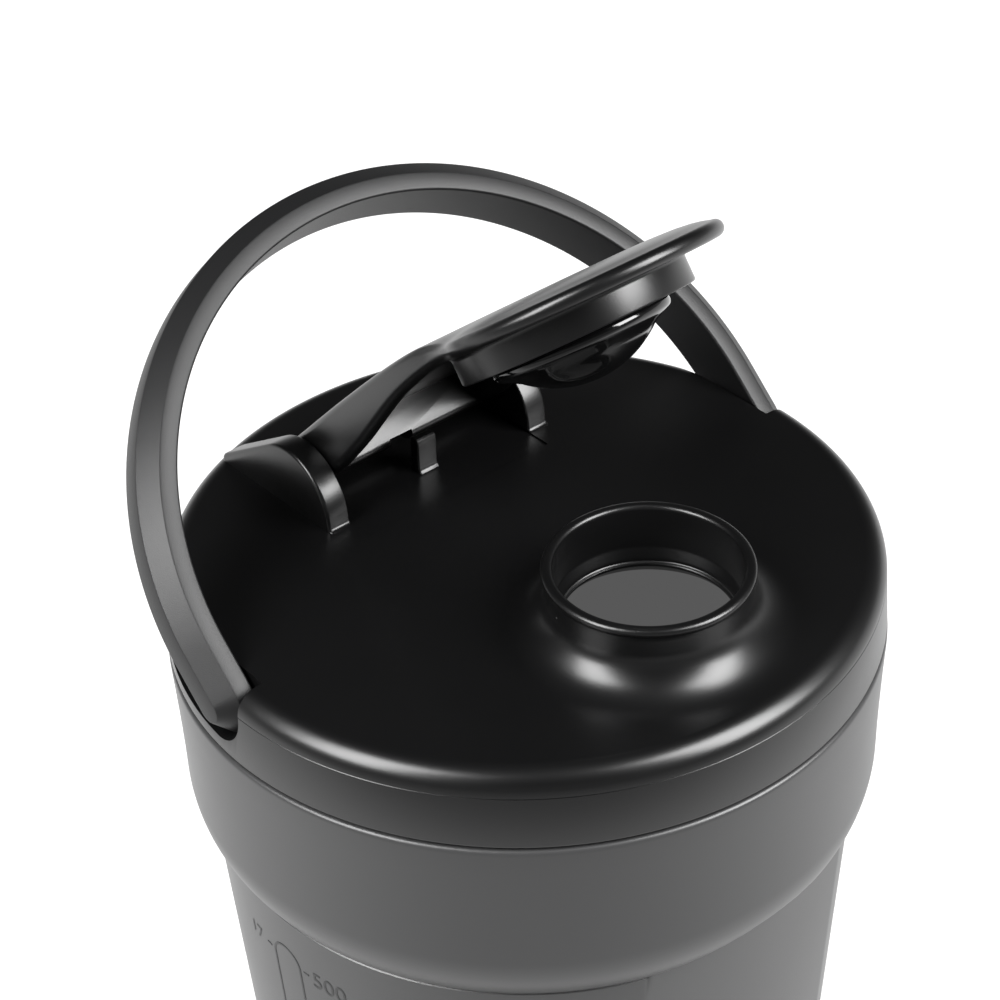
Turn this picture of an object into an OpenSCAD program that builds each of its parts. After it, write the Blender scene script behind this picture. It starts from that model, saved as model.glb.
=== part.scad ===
// Protein shaker bottle: a tapering cup, a lid that screws into its collar, a flip cap over the
// drinking spout, a carry handle that folds down behind the lid, and a loose wire whisk ball.
// Origin: centre of the base on the table. +Z up, -Y is the drinking side, +X is along the hinges.

/* [Cup] */
// Height of the seam where the tapering body meets the collar
seam_z = 114; // [100:1:130]
// Radius of the body at the seam
seam_r = 46.1; // [45.6:0.1:46.4]
// How much the body's radius shrinks for each millimetre below the seam
body_taper = 0.069; // [0.04:0.001:0.075]
// Wall thickness of the body
body_wall = 2; // [1.6:0.1:2.4]
// Radius of the collar where its shoulder starts
collar_r = 48.95; // [48.6:0.05:49.2]
// Radius of the collar at the rim
rim_r = 49.6; // [49.4:0.05:49.8]

/* [Lid] */
// Radius of the lid at its parting line, the lower end of the rounded shoulder
lid_r = 49.1; // [49:0.05:49.2]
// Radius of the lid at the bottom of its flange
flange_r = 49.5; // [49.3:0.05:49.6]
// Height of the dome's middle over the parting line
dome_h = 5.5; // [5.2:0.1:5.8]
// Outer radius of the drinking spout
spout_r = 13.7; // [13.4:0.1:13.9]
// Height of the spout's lip over the parting line
spout_h = 12.4; // [12:0.1:12.6]
// How far the lid rises in one turn of its thread
thread_lead = 8; // [8:1:8]

/* [Flip cap] */
// How far the cap stands open, from closed
cap_open = 38; // [0:1:85]
// Radius of the cap's round brim
brim_r = 19; // [18.5:0.1:19.5]
// Thickness of the arm's side walls
arm_wall = 1.6; // [1.4:0.1:2]

/* [Handle] */
// How far the handle leans back, from upright
handle_lean = 47; // [0:1:90]
// Inner radius of the handle's arch
handle_inner_r = 45.4; // [45.4:0.05:45.6]
// Thickness of the handle, along the arch's radius
handle_thick = 5.05; // [4.6:0.05:5.4]
// Depth of the handle, from its front face to its back face
handle_deep = 9; // [8:0.1:9]

/* [Whisk ball] */
// Radius of the ball over its wire
ball_r = 25; // [20:1:28]
// Diameter of the wire
wire_d = 2.2; // [1.8:0.1:2.6]

/* [Hidden] */
$fn = 120;

// Heights from the table
lid_z = seam_z + 37.4;          // the lid's parting line, from which the lid's parts are measured
flange_z = -8.4;                // bottom of the lid's flange
rim_z = flange_z - 0.5;         // top of the cup's rim
floor_z = 5;                    // inner floor of the cup

// Cup
collar_inner_r = 46;
foot_recess = 2;
foot_width = 6;
foot_corner = 3;
shoulder_h = 8.4;               // height of the rounded step between body and collar

// Lid
dome_sphere_r = 1000;           // the dome is a shallow cap of this sphere
shoulder_r = 4.5;
ceiling_z = 2;
skirt_r = 44;                   // threaded skirt, outside
skirt_inner_r = 41.6;
skirt_z = -23;
groove_z = -7.5;                // roof of the gasket's groove
groove_r = 48;
spout_y = -24.9;
spout_wall = 1.3;
spout_lip = 0.3;
spout_fillet = 4.8;
ledge_z = 3.6;                  // the ledge at the bottom of the spout
throat_r = 11.6;

// Thread: two ridges on the lid's skirt run between two on the collar
thread_root = 1.9;
thread_tip = 1;
lid_crest_r = 45.3;
cup_crest_r = 44.7;
lid_thread_z = -20;
lid_thread_sweep = 315;
cup_thread_z = -19.5;
cup_thread_sweep = 216;

// Hinge of the flip cap, with its axis along X
hinge_y = 29.2;
hinge_z = 6.42;
ear_in = 16.1;
ear_out = 19.7;
ear_front_r = 8.5;
ear_front_y = 26.5;
ear_front_z = 4.4;
ear_slope = 33;
ear_back_y = 41.5;
pin_r = 1;
pin_clear = 0.06;
pad_z = 3.4;                    // floor of the recess between the ears
pad_front_y = 13.7;
pad_back_y = 37;
rib_half = 1.7;                 // the rib in front of the hinge, which steadies the closed cap
rib_front_y = 20.75;
rib_back_y = 22.5;
rib_top = 8.8;

// Flip cap, closed: u runs forward from the hinge axis, v up from it
brim_u = 59;
brim_blend = 20;                // fillet in plan between the arm's sides and the brim
rim_low_v = 6;
rim_top_v = 8.2;
crown_v = 9.2;
arm_half = 15.8;
arm_back = 6;
block_front = 1.7;              // front face of the solid block that the pin runs through
block_low_v = -2.55;
block_r = 2.75;
block_ceiling_v = 2.7;
hollow_u = 30.4;                // where the arm's sloping ceiling meets the plate's underside
notch_half = 1.95;
notch_v = -1.6;
plug_u = hinge_y - spout_y;
ring_r = 16;
ring_inner_r = 14.6;
ring_bottom_v = 2.18;
ring_roof_v = 7.38;
post_r = 5;
post_bottom_v = 4.08;

// Handle
pivot_y = 4;
pivot_z = -1.5;
leg_length = 6.8;               // from the pivot to the centre of the arch
handle_bevel = 2.45;
inner_bevel = 0.3;
boss_r = 2.6;
boss_clear = 0.08;
boss_end = 43.2;
boss_hole_end = 43;
slot_clear = 0.5;

// Points of an arc about (cx, cy), from angle a0 to a1 in n steps
function arc(cx, cy, r, a0, a1, n) =
    [for (i = [0:n]) let (a = a0 + (a1 - a0) * i / n) [cx + r * cos(a), cy + r * sin(a)]];

function body_r(z) = seam_r - body_taper * (seam_z - z);
function dome_z(r) = dome_h - r * r / (2 * dome_sphere_r);

// A ridge wound about Z, tapered at its ends: root and crest give [inner radius, outer radius]
module helix_ridge(r_in, h_in, r_out, h_out, z_start, sweep, inward) {
    steps = ceil(sweep / 9);
    last = 4 * steps;
    points = [for (i = [0:steps])
        let (a = sweep * i / steps, z = z_start + thread_lead * a / 360,
             grow = min(1, 0.05 + min(i, steps - i) / 3),
             ri = inward ? r_out - (r_out - r_in) * grow : r_in,
             ro = inward ? r_out : r_in + (r_out - r_in) * grow)
        each [[ri * cos(a), ri * sin(a), z - h_in / 2], [ro * cos(a), ro * sin(a), z - h_out / 2],
              [ro * cos(a), ro * sin(a), z + h_out / 2], [ri * cos(a), ri * sin(a), z + h_in / 2]]];
    sides = [for (i = [0:steps - 1]) for (k = [0:3])
        let (a = 4 * i + k, b = 4 * i + (k + 1) % 4)
        each [[a, b, b + 4], [a, b + 4, a + 4]]];
    ends = [[0, 3, 2], [0, 2, 1], [last, last + 1, last + 2], [last, last + 2, last + 3]];
    polyhedron(points, concat(sides, ends));
}

module cup() color("dimgray") {
    turn = 2 * atan((collar_r - seam_r) / shoulder_h);
    belly_r = shoulder_h / sin(turn);
    base_r = body_r(0);
    rim = rim_z + lid_z;
    outside = concat(
        [[base_r - foot_width, 0]],
        arc(base_r - foot_corner + 0.1, foot_corner, foot_corner, -90, 0, 5),
        [[seam_r, seam_z]],
        arc(collar_r - belly_r, seam_z + shoulder_h, belly_r, -turn, 0, 6),
        arc(rim_r - 0.6, rim - 0.6, 0.6, 0, 90, 4));
    inside = concat(
        arc(collar_inner_r + 0.6, rim - 0.6, 0.6, 90, 180, 4),
        [[collar_inner_r, seam_z + 8], [seam_r - body_wall, seam_z],
         [body_r(floor_z + 6) - body_wall, floor_z + 6]],
        arc(body_r(floor_z + 6) - body_wall - 6, floor_z + 6, 6, 0, -90, 5),
        [[0, floor_z], [0, foot_recess], [base_r - foot_width - 1, foot_recess]]);
    rotate_extrude($fn = 180) polygon(concat(outside, inside));
    for (start = [0, 180]) translate([0, 0, lid_z + cup_thread_z]) rotate([0, 0, start])
        helix_ridge(cup_crest_r, thread_tip, collar_inner_r + 0.4, thread_root,
                    0, cup_thread_sweep, true);
}

// Everything that belongs to the lid is drawn from its parting line
module lid_frame() translate([0, 0, lid_z]) children();

module lid_shell() {
    shoulder_x = lid_r - shoulder_r;
    dome = [for (i = [0:6]) let (r = shoulder_x * i / 6) [r, dome_z(r)]];
    rotate_extrude($fn = 180) polygon(concat(
        dome,
        arc(shoulder_x, dome_z(shoulder_x) - shoulder_r, shoulder_r, 90, 0, 8),
        [[flange_r, flange_z], [groove_r, flange_z], [groove_r, groove_z], [skirt_r, groove_z],
         [skirt_r, skirt_z], [skirt_inner_r, skirt_z], [skirt_inner_r, ceiling_z], [0, ceiling_z]]));
}

module ear(x0, x1) {
    slope_y = ear_front_y + ear_front_r * sin(ear_slope);
    slope_z = ear_front_z + ear_front_r * cos(ear_slope);
    back_z = slope_z - (ear_back_y - slope_y) * tan(ear_slope);
    translate([x0, 0, 0]) rotate([90, 0, 90]) linear_extrude(x1 - x0) union() {
        translate([ear_front_y, ear_front_z]) circle(ear_front_r);
        polygon([[ear_front_y, ear_front_z], [slope_y, slope_z], [ear_back_y, back_z],
                 [ear_back_y, ceiling_z], [ear_front_y - ear_front_r, ceiling_z],
                 [ear_front_y - ear_front_r, ear_front_z]]);
    }
}

module along_x(x0, x1, y, z, r)
    translate([x0, y, z]) rotate([0, 90, 0]) cylinder(h = x1 - x0, r = r, $fn = 64);

module rib() translate([-rib_half, 0, 0]) rotate([90, 0, 90]) linear_extrude(2 * rib_half) polygon([
    [rib_front_y, ceiling_z], [rib_back_y, ceiling_z], [rib_back_y, rib_top],
    [rib_front_y + 0.5, rib_top], [rib_front_y, rib_top - 0.5]]);

module spout_outside() translate([0, spout_y, 0]) rotate_extrude($fn = 120) polygon(concat(
    [[0, ceiling_z], [spout_r + spout_fillet, ceiling_z]],
    [[spout_r + spout_fillet, dome_z(-spout_y) - 0.9]],
    arc(spout_r + spout_fillet, dome_z(-spout_y) + spout_fillet, spout_fillet, -90, -180, 6),
    [[spout_r, spout_h - 1], [spout_r + spout_lip, spout_h - 0.6], [spout_r + spout_lip, spout_h - 0.2],
     [spout_r, spout_h], [0, spout_h]]));

// The slot beside the lid's shoulder that a handle leg turns and folds down in
module handle_slot() {
    corner_r = handle_deep / 2 + slot_clear;
    wall_x = handle_inner_r - slot_clear;
    fold_y = pivot_y + leg_length;
    difference() {
        union() {
            along_x(30, 60, pivot_y, pivot_z, corner_r);
            translate([30, pivot_y - corner_r, pivot_z]) cube([30, 40, 20]);
            translate([30, pivot_y, pivot_z - corner_r]) cube([30, 40, 20]);
        }
        translate([0, -20, -20]) cube([wall_x, 20 + fold_y, 60]);
        translate([0, fold_y, -20]) cylinder(h = 60, r = wall_x, $fn = 180);
    }
}

module lid() color("#1b1b1c") lid_frame() {
    difference() {
        union() {
            lid_shell();
            spout_outside();
            translate([-18, 12, ceiling_z - 1]) cube([36, 22, pad_z - ceiling_z + 1]);
        }
        translate([0, spout_y, ledge_z])
            cylinder(h = 20, r = spout_r - spout_wall, $fn = 96);
        translate([0, spout_y, -1]) cylinder(h = 20, r = throat_r, $fn = 96);
        translate([-ear_in, pad_front_y, pad_z]) cube([2 * ear_in, pad_back_y - pad_front_y, 5]);
        for (side = [0, 1]) mirror([side, 0, 0]) {
            handle_slot();
            along_x(boss_hole_end, 50, pivot_y, pivot_z, boss_r + boss_clear);
        }
    }
    difference() {
        union() {
            ear(-ear_out, -ear_in);
            ear(ear_in, ear_out);
            rib();
        }
        along_x(-ear_out + 1.2, ear_out + 1, hinge_y, hinge_z, pin_r);
    }
    for (start = [0, 180]) translate([0, 0, lid_thread_z]) rotate([0, 0, start + 90])
        helix_ridge(skirt_r - 0.4, thread_root, lid_crest_r, thread_tip, 0, lid_thread_sweep, false);
}

module lid_gasket() color("#3a3a3c") lid_frame() translate([0, 0, rim_z]) difference() {
    cylinder(h = groove_z - rim_z, r = groove_r - 0.1, $fn = 180);
    translate([0, 0, -1]) cylinder(h = 5, r = skirt_r + 0.05, $fn = 180);
}

module hinge_pin() color("silver") lid_frame()
    along_x(-ear_out + 1.2, ear_out, hinge_y, hinge_z, pin_r);

// Turns the cap's closed pose, drawn about the hinge axis, to where it stands
module cap_frame() lid_frame() translate([0, hinge_y, hinge_z]) rotate([-cap_open, 0, 0]) children();

// Plan of the arm up to the brim's centre, with a fillet on each side where it meets the brim
module arm_outline() {
    blend_x = arm_half + brim_blend;
    blend_back = sqrt(pow(brim_r + brim_blend, 2) - blend_x * blend_x);
    blend_angle = atan(blend_back / blend_x);
    right = arc(blend_x, blend_back - brim_u, brim_blend, 180, 180 + blend_angle, 6);
    left = [for (i = [6:-1:0]) [-right[i][0], right[i][1]]];
    polygon(concat([[arm_half, arm_back]], right, [[0, -brim_u]], left, [[-arm_half, arm_back]]));
}

// Side view of the arm: its top, the curved lower edge of its walls and the round back of the block
module arm_side() {
    polygon(concat(
        [[0, 4.2], [-3.4, 4.65], [-18.3, 6.7], [-32, 8.3], [-38.3, 8.8], [-50, 9.15], [-80, crown_v],
         [-80, rim_low_v], [-49.5, rim_low_v], [-44.8, 5.9], [-41, 5.5], [-37.5, 4.9], [-30.3, 3.4],
         [-19.9, 0.33], [-14, -1.1], [-8.9, -2.2], [-5.8, -2.42], [-block_front, block_low_v],
         [-1, -2.7]],
        arc(0, 0, block_r, -90, 0, 9),
        [[2.6, 2.2], [1.6, 3.7]]));
}

// End view of the arm, which bevels its top to meet the crowned brim
module arm_end() polygon([
    [-30, -10], [30, -10], [30, rim_top_v], [17.5, rim_top_v], [15, crown_v],
    [-15, crown_v], [-17.5, rim_top_v], [-30, rim_top_v]]);

module arm_hollow() translate([-arm_half + arm_wall, 0, 0]) rotate([90, 0, 90])
    linear_extrude(2 * (arm_half - arm_wall)) polygon([
        [-block_front, -10], [-block_front, block_ceiling_v], [-hollow_u, rim_low_v],
        [-90, rim_low_v], [-90, -10]]);

module brim() translate([0, -brim_u, 0]) rotate_extrude($fn = 120) polygon([
    [0, rim_low_v], [brim_r - 0.8, rim_low_v], [brim_r, rim_low_v + 0.8], [brim_r, rim_top_v - 0.8],
    [brim_r - 0.8, rim_top_v], [brim_r - 4, 8.9], [0, crown_v]]);

module flip_cap() color("#1b1b1c") cap_frame() {
    difference() {
        union() {
            difference() {
                intersection() {
                    translate([0, 0, -10]) linear_extrude(30) arm_outline();
                    translate([-40, 0, 0]) rotate([90, 0, 90]) linear_extrude(80) arm_side();
                    translate([0, 20, 0]) rotate([90, 0, 0]) linear_extrude(100) arm_end();
                }
                arm_hollow();
            }
            brim();
            translate([0, -plug_u, ring_bottom_v])
                cylinder(h = rim_low_v + 0.2 - ring_bottom_v, r = ring_r, $fn = 120);
        }
        translate([0, -plug_u, ring_bottom_v - 1])
            cylinder(h = ring_roof_v - ring_bottom_v + 1, r = ring_inner_r, $fn = 120);
        along_x(-30, 30, 0, 0, pin_r + pin_clear);
        translate([-notch_half, -5, -8]) cube([2 * notch_half, 10, 8 + notch_v]);
    }
    translate([0, -plug_u, post_bottom_v]) cylinder(h = 4, r = post_r, $fn = 64);
}

module cap_plug() color("black") cap_frame() translate([0, -plug_u, 0])
    rotate_extrude($fn = 96) polygon(concat(
        [[post_r, ring_roof_v], [post_r, post_bottom_v], [0, post_bottom_v], [0, -4.02]],
        arc(0, 9.98, 14, -90, -50, 6),
        arc(11, 1.38, 1.1, -40, 60, 5),
        [[10.6, 3.2], [10.6, 6.1], [14.4, 6.1], [14.4, ring_roof_v]]));

module handle_section() polygon([
    [handle_inner_r + inner_bevel, -handle_deep / 2],
    [handle_inner_r + handle_thick - handle_bevel, -handle_deep / 2],
    [handle_inner_r + handle_thick, -handle_deep / 2 + handle_bevel],
    [handle_inner_r + handle_thick, handle_deep / 2 - handle_bevel],
    [handle_inner_r + handle_thick - handle_bevel, handle_deep / 2],
    [handle_inner_r + inner_bevel, handle_deep / 2],
    [handle_inner_r, handle_deep / 2 - inner_bevel],
    [handle_inner_r, -handle_deep / 2 + inner_bevel]]);

module handle_leg() {
    half = handle_deep / 2;
    linear_extrude(leg_length) handle_section();
    rotate([0, 90, 0]) rotate_extrude($fn = 72) polygon([
        [0, boss_end], [boss_r, boss_end], [boss_r, handle_inner_r],
        [half - inner_bevel, handle_inner_r], [half, handle_inner_r + inner_bevel],
        [half, handle_inner_r + handle_thick - handle_bevel],
        [half - handle_bevel, handle_inner_r + handle_thick], [0, handle_inner_r + handle_thick]]);
}

module handle() color("#1b1b1c") lid_frame()
    translate([0, pivot_y, pivot_z]) rotate([-handle_lean, 0, 0]) {
        translate([0, 0, leg_length]) rotate([90, 0, 0])
            rotate_extrude(angle = 180, $fn = 180) handle_section();
        handle_leg();
        mirror([1, 0, 0]) handle_leg();
    }

// The wire's centre line, wound from pole to pole
function unit(v) = v / norm(v);
function wire_spot(i, rings, turns) =
    let (a = 360 * turns * i / rings, lat = -78 + 156 * i / rings)
    (ball_r - wire_d / 2) * [cos(lat) * cos(a), cos(lat) * sin(a), sin(lat)];

module whisk_ball() color("silver") {
    turns = 7;
    rings = 24 * turns;
    sides = 8;
    points = [for (i = [0:rings])
        let (here = wire_spot(i, rings, turns),
             along = unit(wire_spot(i + 1, rings, turns) - wire_spot(i - 1, rings, turns)),
             out = unit(here - (here * along) * along),
             across = cross(along, out))
        each [for (k = [0:sides - 1])
            here + wire_d / 2 * (cos(360 * k / sides) * out + sin(360 * k / sides) * across)]];
    skin = [for (i = [0:rings - 1]) for (k = [0:sides - 1])
        let (a = sides * i + k, b = sides * i + (k + 1) % sides)
        each [[a, b, b + sides], [a, b + sides, a + sides]]];
    first = [for (k = [1:sides - 2]) [0, k + 1, k]];
    end = sides * rings;
    finish = [for (k = [1:sides - 2]) [end, end + k, end + k + 1]];
    translate([0, 0, floor_z + ball_r + 0.3]) polyhedron(points, concat(skin, first, finish));
}

cup();
lid();
lid_gasket();
flip_cap();
cap_plug();
hinge_pin();
handle();
whisk_ball();
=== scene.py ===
"""Looks of the shaker bottle: fine meshes, materials, floor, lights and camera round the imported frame."""
import math

import bmesh
import bpy
from mathutils import Matrix, Vector


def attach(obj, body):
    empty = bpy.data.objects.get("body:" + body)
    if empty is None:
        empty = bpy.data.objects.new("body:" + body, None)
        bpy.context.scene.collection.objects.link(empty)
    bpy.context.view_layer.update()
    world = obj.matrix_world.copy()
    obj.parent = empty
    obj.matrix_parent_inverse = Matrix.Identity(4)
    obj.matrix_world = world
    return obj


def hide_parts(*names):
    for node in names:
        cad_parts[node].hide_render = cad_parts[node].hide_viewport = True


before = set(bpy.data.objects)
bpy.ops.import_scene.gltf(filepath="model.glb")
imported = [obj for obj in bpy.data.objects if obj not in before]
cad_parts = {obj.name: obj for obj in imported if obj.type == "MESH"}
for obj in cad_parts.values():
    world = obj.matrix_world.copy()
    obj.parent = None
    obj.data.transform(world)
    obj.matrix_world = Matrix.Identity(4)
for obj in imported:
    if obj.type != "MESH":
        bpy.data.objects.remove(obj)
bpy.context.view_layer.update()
MM = 0.001
LID_Z = 151.4          # height of the lid's own zero over the table
SEAM_Z = 114.0         # the seam under the cup's collar
AROUND = 240           # points round the lid
CUP_AROUND = 720       # points round the cup, whose panel has crisp sides


# ---------------------------------------------------------------- mesh tools (all in millimetres)
def arc(cx, cy, r, a0, a1, n):
    return [(cx + r * math.cos(math.radians(a0 + (a1 - a0) * i / n)),
             cy + r * math.sin(math.radians(a0 + (a1 - a0) * i / n))) for i in range(n + 1)]


def object_of(bm, name, sharp):
    """The mesh as a smooth-shaded object that keeps its edges over the angle sharp."""
    me = bpy.data.meshes.new(name)
    bm.to_mesh(me)
    bm.free()
    for p in me.polygons:
        p.use_smooth = True
    me.set_sharp_from_angle(angle=math.radians(sharp))
    ob = bpy.data.objects.new(name, me)
    bpy.context.scene.collection.objects.link(ob)
    return ob


def finish_mesh(bm, name, sharp=32, weld=0.002):
    """Welds and orients a mesh drawn in millimetres, and makes it an object in metres."""
    if weld:
        bmesh.ops.remove_doubles(bm, verts=bm.verts, dist=weld)
    bmesh.ops.dissolve_degenerate(bm, edges=bm.edges, dist=1e-4)
    bmesh.ops.recalc_face_normals(bm, faces=bm.faces)
    bmesh.ops.scale(bm, vec=(MM, MM, MM), verts=bm.verts)
    return object_of(bm, name, sharp)


def rings_to(bm, rings, around=True, ends=False, loop=False):
    """Skins a list of equal rings of points. ends caps the first and last ring, loop joins them."""
    rows = [[bm.verts.new(p) for p in ring] for ring in rings]
    n = len(rows[0])
    pairs = list(zip(rows, rows[1:])) + ([(rows[-1], rows[0])] if loop else [])
    for a, b in pairs:
        for i in range(n if around else n - 1):
            j = (i + 1) % n
            bm.faces.new((a[i], a[j], b[j], b[i]))
    if ends:
        bm.faces.new(rows[0][::-1])
        bm.faces.new(rows[-1])
    return rows


def circle_pts(r, z, n=AROUND, cx=0.0, cy=0.0):
    return [(cx + r * math.cos(2 * math.pi * i / n), cy + r * math.sin(2 * math.pi * i / n), z)
            for i in range(n)]


def lathe(bm, profile, n=AROUND, cx=0.0, cy=0.0, loop=False):
    return rings_to(bm, [circle_pts(max(r, 1e-4), z, n, cx, cy) for r, z in profile], loop=loop)


def prism_x(bm, profile, x0, x1, round_x0=0.0, round_x1=0.0, steps=4):
    """A solid with the (y, z) profile, run along X, with its two end faces' edges rounded."""
    n = len(profile)
    area = sum(profile[i][0] * profile[(i + 1) % n][1] - profile[(i + 1) % n][0] * profile[i][1]
               for i in range(n))
    side = 1 if area > 0 else -1
    normals = []
    for i in range(n):
        (ax, ay), (bx, by), (cx, cy) = profile[i - 1], profile[i], profile[(i + 1) % n]
        e0, e1 = Vector((bx - ax, by - ay)).normalized(), Vector((cx - bx, cy - by)).normalized()
        t = e0 + e1
        t = t.normalized() if t.length > 1e-6 else e1
        nrm = Vector((t.y, -t.x)) * side
        normals.append(nrm / max(0.5, abs(nrm.dot(Vector((e1.y, -e1.x)) * side))))
    rings = []

    def ring(x, inset):
        rings.append([(x, profile[i][0] - normals[i].x * inset, profile[i][1] - normals[i].y * inset)
                      for i in range(n)])
    for k in range(steps + 1):
        a = math.pi / 2 * k / steps
        if round_x0 or k == steps:
            ring(x0 + round_x0 * (1 - math.cos(a)), round_x0 * (1 - math.sin(a)))
    for k in range(steps + 1):
        a = math.pi / 2 * k / steps
        if round_x1 or k == 0:
            ring(x1 - round_x1 * (1 - math.sin(a)), round_x1 * (1 - math.cos(a)))
    rings_to(bm, rings, ends=True)


def cut(ob, cutter, operation="DIFFERENCE"):
    mod = ob.modifiers.new("cut", "BOOLEAN")
    mod.object = cutter
    mod.operation = operation
    mod.solver = "EXACT"
    bpy.context.view_layer.update()
    deps = bpy.context.evaluated_depsgraph_get()
    me = bpy.data.meshes.new_from_object(ob.evaluated_get(deps))
    ob.modifiers.clear()
    old = ob.data
    ob.data = me
    bpy.data.meshes.remove(old)
    bpy.data.objects.remove(cutter)


def join(name, parts, sharp=32):
    """Several closed shells of one moulding, in one mesh."""
    bm = bmesh.new()
    for p in parts:
        bm.from_mesh(p.data)
        bpy.data.objects.remove(p)
    return object_of(bm, name, sharp)


def helix(bm, r_in, h_in, r_out, h_out, z0, sweep, turn0, inward, lead=8.0):
    """A thread ridge from r_in to r_out, with its heights at both, that fades out at its ends."""
    steps = int(sweep / 4)
    rings = []
    for i in range(steps + 1):
        a = math.radians(turn0 + sweep * i / steps)
        z = z0 + lead * sweep / 360 * i / steps
        grow = min(1.0, 0.05 + min(i, steps - i) / 6)
        ri = r_out - (r_out - r_in) * grow if inward else r_in
        ro = r_out if inward else r_in + (r_out - r_in) * grow
        rings.append([(ri * math.cos(a), ri * math.sin(a), z - h_in / 2),
                      (ro * math.cos(a), ro * math.sin(a), z - h_out / 2),
                      (ro * math.cos(a), ro * math.sin(a), z + h_out / 2),
                      (ri * math.cos(a), ri * math.sin(a), z + h_in / 2)])
    rings_to(bm, rings, ends=True)


# ---------------------------------------------------------------- materials
def nodes_of(mat):
    mat.use_nodes = True
    nodes = mat.node_tree.nodes
    return nodes, mat.node_tree.links, nodes["Principled BSDF"]


def plastic(name, base, lighter, rough, rough_spread, grain, grain_scale, specks=0.0, gloss=0.5,
            speck_colour=(0.25, 0.25, 0.25, 1)):
    """Moulded plastic: a little unevenness in tone and gloss, a fine grain, and stray dust."""
    mat = bpy.data.materials.new(name)
    n, l, bsdf = nodes_of(mat)
    coord = n.new("ShaderNodeTexCoord")
    wide = n.new("ShaderNodeTexNoise")
    wide.inputs["Scale"].default_value = 22
    wide.inputs["Detail"].default_value = 4
    l.new(coord.outputs["Object"], wide.inputs["Vector"])
    tone = n.new("ShaderNodeMix")
    tone.data_type = "RGBA"
    tone.inputs["A"].default_value = base
    tone.inputs["B"].default_value = lighter
    l.new(wide.outputs["Fac"], tone.inputs["Factor"])
    colour = tone.outputs["Result"]
    fine = n.new("ShaderNodeTexNoise")
    fine.inputs["Scale"].default_value = grain_scale
    fine.inputs["Detail"].default_value = 2
    l.new(coord.outputs["Object"], fine.inputs["Vector"])
    rough_map = n.new("ShaderNodeMapRange")
    rough_map.inputs["From Min"].default_value = 0.3
    rough_map.inputs["From Max"].default_value = 0.7
    rough_map.inputs["To Min"].default_value = rough - rough_spread
    rough_map.inputs["To Max"].default_value = rough + rough_spread
    l.new(wide.outputs["Fac"], rough_map.inputs["Value"])
    l.new(rough_map.outputs["Result"], bsdf.inputs["Roughness"])
    if specks:
        cells = n.new("ShaderNodeTexVoronoi")
        cells.inputs["Scale"].default_value = 300
        cells.inputs["Randomness"].default_value = 1
        l.new(coord.outputs["Object"], cells.inputs["Vector"])
        near = n.new("ShaderNodeMath")
        near.operation = "LESS_THAN"
        near.inputs[1].default_value = 0.035
        l.new(cells.outputs["Distance"], near.inputs[0])
        few = n.new("ShaderNodeSeparateColor")
        l.new(cells.outputs["Color"], few.inputs["Color"])
        pick = n.new("ShaderNodeMath")
        pick.operation = "GREATER_THAN"
        pick.inputs[1].default_value = 1 - specks
        l.new(few.outputs["Red"], pick.inputs[0])
        both = n.new("ShaderNodeMath")
        both.operation = "MULTIPLY"
        l.new(near.outputs[0], both.inputs[0])
        l.new(pick.outputs[0], both.inputs[1])
        dust = n.new("ShaderNodeMix")
        dust.data_type = "RGBA"
        dust.inputs["B"].default_value = speck_colour
        l.new(both.outputs[0], dust.inputs["Factor"])
        l.new(colour, dust.inputs["A"])
        colour = dust.outputs["Result"]
    l.new(colour, bsdf.inputs["Base Color"])
    bump = n.new("ShaderNodeBump")
    bump.inputs["Strength"].default_value = grain
    bump.inputs["Distance"].default_value = 0.00002
    l.new(fine.outputs["Fac"], bump.inputs["Height"])
    l.new(bump.outputs["Normal"], bsdf.inputs["Normal"])
    bsdf.inputs["Specular IOR Level"].default_value = gloss
    return mat


def steel(name, tint, rough):
    mat = bpy.data.materials.new(name)
    n, l, bsdf = nodes_of(mat)
    coord = n.new("ShaderNodeTexCoord")
    noise = n.new("ShaderNodeTexNoise")
    noise.inputs["Scale"].default_value = 350
    noise.inputs["Detail"].default_value = 3
    l.new(coord.outputs["Object"], noise.inputs["Vector"])
    ramp = n.new("ShaderNodeMapRange")
    ramp.inputs["To Min"].default_value = rough * 0.6
    ramp.inputs["To Max"].default_value = rough * 1.4
    l.new(noise.outputs["Fac"], ramp.inputs["Value"])
    l.new(ramp.outputs["Result"], bsdf.inputs["Roughness"])
    tone = n.new("ShaderNodeMix")
    tone.data_type = "RGBA"
    tone.inputs["A"].default_value = tuple(c * 0.85 for c in tint[:3]) + (1,)
    tone.inputs["B"].default_value = tint
    l.new(noise.outputs["Fac"], tone.inputs["Factor"])
    l.new(tone.outputs["Result"], bsdf.inputs["Base Color"])
    bsdf.inputs["Metallic"].default_value = 1
    return mat


black = plastic("satin_black_plastic", (0.0018, 0.0018, 0.0019, 1), (0.0026, 0.0026, 0.0027, 1),
                0.29, 0.02, 0.35, 7000, specks=0.03, gloss=0.45)
handle_black = plastic("grained_black_plastic", (0.004, 0.004, 0.0042, 1), (0.006, 0.006, 0.0063, 1),
                       0.45, 0.03, 0.8, 7000, specks=0.02, gloss=0.35)
grey = plastic("grey_plastic", (0.026, 0.026, 0.0265, 1), (0.032, 0.032, 0.0325, 1),
               0.36, 0.03, 0.15, 5000, specks=0.03, gloss=0.5, speck_colour=(0.3, 0.3, 0.3, 1))
ink = plastic("scale_mark", (0.014, 0.014, 0.0145, 1), (0.018, 0.018, 0.0185, 1), 0.5, 0.03, 0.1, 5000)
soft_black = plastic("soft_black_rubber", (0.002, 0.002, 0.0021, 1), (0.003, 0.003, 0.0031, 1),
                     0.1, 0.03, 0.03, 3800, specks=0.05)
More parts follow.
